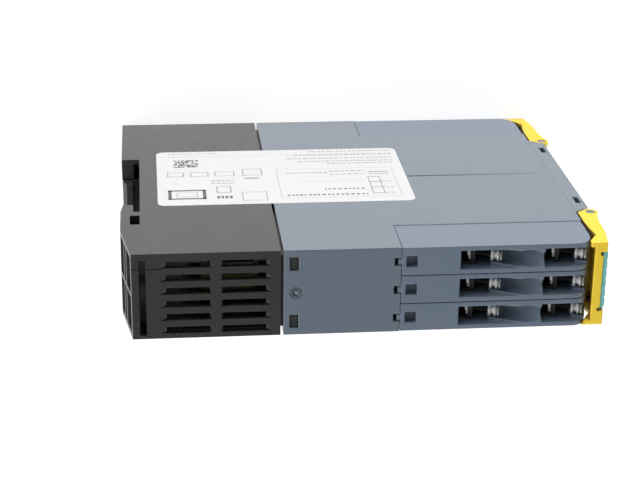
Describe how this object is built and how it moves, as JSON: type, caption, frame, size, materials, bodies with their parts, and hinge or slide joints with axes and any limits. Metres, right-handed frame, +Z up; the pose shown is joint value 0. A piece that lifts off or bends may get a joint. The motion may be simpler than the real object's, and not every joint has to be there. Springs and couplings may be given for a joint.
{
  "type": "safety relay",
  "caption": "Slim safety relay for a 35 mm rail: louvred two-shell housing, plug-in screw terminals at both ends, hinged covers with marking strips and a sprung rail latch.",
  "frame": {"origin": "middle of the lower end, at the centre of the width and of the whole depth", "axes": "+Z up as the device hangs on its rail, +Y back to the rail, +X to the right side, which carries the label"},
  "size_m": [0.0226, 0.1229, 0.1],
  "materials": {
    "black_plastic": "fine matte moulded texture",
    "grey_plastic": "fine matte moulded texture, blue grey",
    "yellow_plastic": "smooth satin",
    "teal_plastic": "satin",
    "label_film": "printed film, bare",
    "zinc_steel": "bright zinc plated",
    "tinned_copper": "tinned",
    "circuit_board": "solder-masked laminate",
    "relay_plastic": "smooth",
    "winding": "taped winding on a dark core",
    "can_metal": "satin",
    "led_body": "clear epoxy",
    "clear_plastic": "clear, polished",
    "switch_plastic": "smooth",
    "slider_plastic": "smooth",
    "spring_plastic": "smooth, springy"
  },
  "bodies": {
    "root": {"rear_housing": "black_plastic", "latch_spring": "spring_plastic", "front_housing": "grey_plastic", "front_panel": "grey_plastic", "side_label": "label_film", "main_board": "circuit_board", "front_board": "circuit_board", "relay_1": "relay_plastic", "relay_2": "relay_plastic", "converter_coil": "winding", "capacitor": "can_metal", "status_lights": "led_body", "light_guides": "clear_plastic", "dip_switch_body": "switch_plastic", "top_terminal_1": "grey_plastic", "top_contacts_1": "tinned_copper", "top_terminal_2": "grey_plastic", "top_contacts_2": "tinned_copper", "top_terminal_3": "grey_plastic", "top_contacts_3": "tinned_copper", "bottom_terminal_1": "grey_plastic", "bottom_contacts_1": "tinned_copper", "bottom_terminal_2": "grey_plastic", "bottom_contacts_2": "tinned_copper", "bottom_terminal_3": "grey_plastic", "bottom_contacts_3": "tinned_copper"},
    "top_screw_1_rear": {"top_screw_1_rear": "zinc_steel"},
    "top_clamp_1_rear": {"top_clamp_1_rear": "zinc_steel"},
    "top_screw_1_front": {"top_screw_1_front": "zinc_steel"},
    "top_clamp_1_front": {"top_clamp_1_front": "zinc_steel"},
    "top_screw_2_rear": {"top_screw_2_rear": "zinc_steel"},
    "top_clamp_2_rear": {"top_clamp_2_rear": "zinc_steel"},
    "top_screw_2_front": {"top_screw_2_front": "zinc_steel"},
    "top_clamp_2_front": {"top_clamp_2_front": "zinc_steel"},
    "top_screw_3_rear": {"top_screw_3_rear": "zinc_steel"},
    "top_clamp_3_rear": {"top_clamp_3_rear": "zinc_steel"},
    "top_screw_3_front": {"top_screw_3_front": "zinc_steel"},
    "top_clamp_3_front": {"top_clamp_3_front": "zinc_steel"},
    "bottom_screw_1_rear": {"bottom_screw_1_rear": "zinc_steel"},
    "bottom_clamp_1_rear": {"bottom_clamp_1_rear": "zinc_steel"},
    "bottom_screw_1_front": {"bottom_screw_1_front": "zinc_steel"},
    "bottom_clamp_1_front": {"bottom_clamp_1_front": "zinc_steel"},
    "bottom_screw_2_rear": {"bottom_screw_2_rear": "zinc_steel"},
    "bottom_clamp_2_rear": {"bottom_clamp_2_rear": "zinc_steel"},
    "bottom_screw_2_front": {"bottom_screw_2_front": "zinc_steel"},
    "bottom_clamp_2_front": {"bottom_clamp_2_front": "zinc_steel"},
    "bottom_screw_3_rear": {"bottom_screw_3_rear": "zinc_steel"},
    "bottom_clamp_3_rear": {"bottom_clamp_3_rear": "zinc_steel"},
    "bottom_screw_3_front": {"bottom_screw_3_front": "zinc_steel"},
    "bottom_clamp_3_front": {"bottom_clamp_3_front": "zinc_steel"},
    "top_cover": {"top_cover": "yellow_plastic", "top_tag": "teal_plastic"},
    "bottom_cover": {"bottom_cover": "yellow_plastic", "bottom_tag": "teal_plastic"},
    "rail_latch": {"rail_latch": "black_plastic"},
    "dip_slider_1": {"dip_slider_1": "slider_plastic"},
    "dip_slider_2": {"dip_slider_2": "slider_plastic"},
    "dip_slider_3": {"dip_slider_3": "slider_plastic"},
    "dip_slider_4": {"dip_slider_4": "slider_plastic"}
  },
  "joints": [
    {"name": "top_screw_1_rear_turn", "type": "hinge", "parent": "root", "child": "top_screw_1_rear", "pos_m": [0.0075, -0.03295, 0.09735], "axis": [0, 0.9397, -0.342], "range_deg": [0, 1081]},
    {"name": "top_clamp_1_rear_slide", "type": "slide", "parent": "root", "child": "top_clamp_1_rear", "axis": [0, -0.9397, 0.342], "range_m": [0, 0.0015]},
    {"name": "top_screw_1_front_turn", "type": "hinge", "parent": "root", "child": "top_screw_1_front", "pos_m": [0.0075, -0.05415, 0.09735], "axis": [0, 0.9397, -0.342], "range_deg": [0, 1081]},
    {"name": "top_clamp_1_front_slide", "type": "slide", "parent": "root", "child": "top_clamp_1_front", "axis": [0, -0.9397, 0.342], "range_m": [0, 0.0015]},
    {"name": "top_screw_2_rear_turn", "type": "hinge", "parent": "root", "child": "top_screw_2_rear", "pos_m": [0, -0.03295, 0.09735], "axis": [0, 0.9397, -0.342], "range_deg": [0, 1081]},
    {"name": "top_clamp_2_rear_slide", "type": "slide", "parent": "root", "child": "top_clamp_2_rear", "axis": [0, -0.9397, 0.342], "range_m": [0, 0.0015]},
    {"name": "top_screw_2_front_turn", "type": "hinge", "parent": "root", "child": "top_screw_2_front", "pos_m": [0, -0.05415, 0.09735], "axis": [0, 0.9397, -0.342], "range_deg": [0, 1081]},
    {"name": "top_clamp_2_front_slide", "type": "slide", "parent": "root", "child": "top_clamp_2_front", "axis": [0, -0.9397, 0.342], "range_m": [0, 0.0015]},
    {"name": "top_screw_3_rear_turn", "type": "hinge", "parent": "root", "child": "top_screw_3_rear", "pos_m": [-0.0075, -0.03295, 0.09735], "axis": [0, 0.9397, -0.342], "range_deg": [0, 1081]},
    {"name": "top_clamp_3_rear_slide", "type": "slide", "parent": "root", "child": "top_clamp_3_rear", "axis": [0, -0.9397, 0.342], "range_m": [0, 0.0015]},
    {"name": "top_screw_3_front_turn", "type": "hinge", "parent": "root", "child": "top_screw_3_front", "pos_m": [-0.0075, -0.05415, 0.09735], "axis": [0, 0.9397, -0.342], "range_deg": [0, 1081]},
    {"name": "top_clamp_3_front_slide", "type": "slide", "parent": "root", "child": "top_clamp_3_front", "axis": [0, -0.9397, 0.342], "range_m": [0, 0.0015]},
    {"name": "bottom_screw_1_rear_turn", "type": "hinge", "parent": "root", "child": "bottom_screw_1_rear", "pos_m": [-0.0075, -0.03295, 0.00265], "axis": [0, 0.9397, 0.342], "range_deg": [0, 1081]},
    {"name": "bottom_clamp_1_rear_slide", "type": "slide", "parent": "root", "child": "bottom_clamp_1_rear", "axis": [0, -0.9397, -0.342], "range_m": [0, 0.0015]},
    {"name": "bottom_screw_1_front_turn", "type": "hinge", "parent": "root", "child": "bottom_screw_1_front", "pos_m": [-0.0075, -0.05415, 0.00265], "axis": [0, 0.9397, 0.342], "range_deg": [0, 1081]},
    {"name": "bottom_clamp_1_front_slide", "type": "slide", "parent": "root", "child": "bottom_clamp_1_front", "axis": [0, -0.9397, -0.342], "range_m": [0, 0.0015]},
    {"name": "bottom_screw_2_rear_turn", "type": "hinge", "parent": "root", "child": "bottom_screw_2_rear", "pos_m": [0, -0.03295, 0.00265], "axis": [0, 0.9397, 0.342], "range_deg": [0, 1081]},
    {"name": "bottom_clamp_2_rear_slide", "type": "slide", "parent": "root", "child": "bottom_clamp_2_rear", "axis": [0, -0.9397, -0.342], "range_m": [0, 0.0015]},
    {"name": "bottom_screw_2_front_turn", "type": "hinge", "parent": "root", "child": "bottom_screw_2_front", "pos_m": [0, -0.05415, 0.00265], "axis": [0, 0.9397, 0.342], "range_deg": [0, 1081]},
    {"name": "bottom_clamp_2_front_slide", "type": "slide", "parent": "root", "child": "bottom_clamp_2_front", "axis": [0, -0.9397, -0.342], "range_m": [0, 0.0015]},
    {"name": "bottom_screw_3_rear_turn", "type": "hinge", "parent": "root", "child": "bottom_screw_3_rear", "pos_m": [0.0075, -0.03295, 0.00265], "axis": [0, 0.9397, 0.342], "range_deg": [0, 1081]},
    {"name": "bottom_clamp_3_rear_slide", "type": "slide", "parent": "root", "child": "bottom_clamp_3_rear", "axis": [0, -0.9397, -0.342], "range_m": [0, 0.0015]},
    {"name": "bottom_screw_3_front_turn", "type": "hinge", "parent": "root", "child": "bottom_screw_3_front", "pos_m": [0.0075, -0.05415, 0.00265], "axis": [0, 0.9397, 0.342], "range_deg": [0, 1081]},
    {"name": "bottom_clamp_3_front_slide", "type": "slide", "parent": "root", "child": "bottom_clamp_3_front", "axis": [0, -0.9397, -0.342], "range_m": [0, 0.0015]},
    {"name": "top_cover_hinge", "type": "hinge", "parent": "root", "child": "top_cover", "pos_m": [0, -0.05955, 0.0785], "axis": [1, 0, 0], "range_deg": [0, 110]},
    {"name": "bottom_cover_hinge", "type": "hinge", "parent": "root", "child": "bottom_cover", "pos_m": [0, -0.05955, 0.0215], "axis": [-1, 0, 0], "range_deg": [0, 110]},
    {"name": "rail_latch_slide", "type": "slide", "parent": "root", "child": "rail_latch", "axis": [0, 0, -1], "range_m": [0, 0.003], "stiffness_N_per_m": 300, "deforming": ["latch_spring"]},
    {"name": "dip_slider_1_slide", "type": "slide", "parent": "root", "child": "dip_slider_1", "axis": [1, 0, 0], "range_m": [0, 0.0016]},
    {"name": "dip_slider_2_slide", "type": "slide", "parent": "root", "child": "dip_slider_2", "axis": [1, 0, 0], "range_m": [0, 0.0016]},
    {"name": "dip_slider_3_slide", "type": "slide", "parent": "root", "child": "dip_slider_3", "axis": [1, 0, 0], "range_m": [0, 0.0016]},
    {"name": "dip_slider_4_slide", "type": "slide", "parent": "root", "child": "dip_slider_4", "axis": [1, 0, 0], "range_m": [0, 0.0016]}
  ],
  "couplings": [
    {"joint": "top_screw_1_rear_turn", "follows": "top_clamp_1_rear_slide", "rad_per_m": 12566},
    {"joint": "top_screw_1_front_turn", "follows": "top_clamp_1_front_slide", "rad_per_m": 12566},
    {"joint": "top_screw_2_rear_turn", "follows": "top_clamp_2_rear_slide", "rad_per_m": 12566},
    {"joint": "top_screw_2_front_turn", "follows": "top_clamp_2_front_slide", "rad_per_m": 12566},
    {"joint": "top_screw_3_rear_turn", "follows": "top_clamp_3_rear_slide", "rad_per_m": 12566},
    {"joint": "top_screw_3_front_turn", "follows": "top_clamp_3_front_slide", "rad_per_m": 12566},
    {"joint": "bottom_screw_1_rear_turn", "follows": "bottom_clamp_1_rear_slide", "rad_per_m": 12566},
    {"joint": "bottom_screw_1_front_turn", "follows": "bottom_clamp_1_front_slide", "rad_per_m": 12566},
    {"joint": "bottom_screw_2_rear_turn", "follows": "bottom_clamp_2_rear_slide", "rad_per_m": 12566},
    {"joint": "bottom_screw_2_front_turn", "follows": "bottom_clamp_2_front_slide", "rad_per_m": 12566},
    {"joint": "bottom_screw_3_rear_turn", "follows": "bottom_clamp_3_rear_slide", "rad_per_m": 12566},
    {"joint": "bottom_screw_3_front_turn", "follows": "bottom_clamp_3_front_slide", "rad_per_m": 12566}
  ]
}
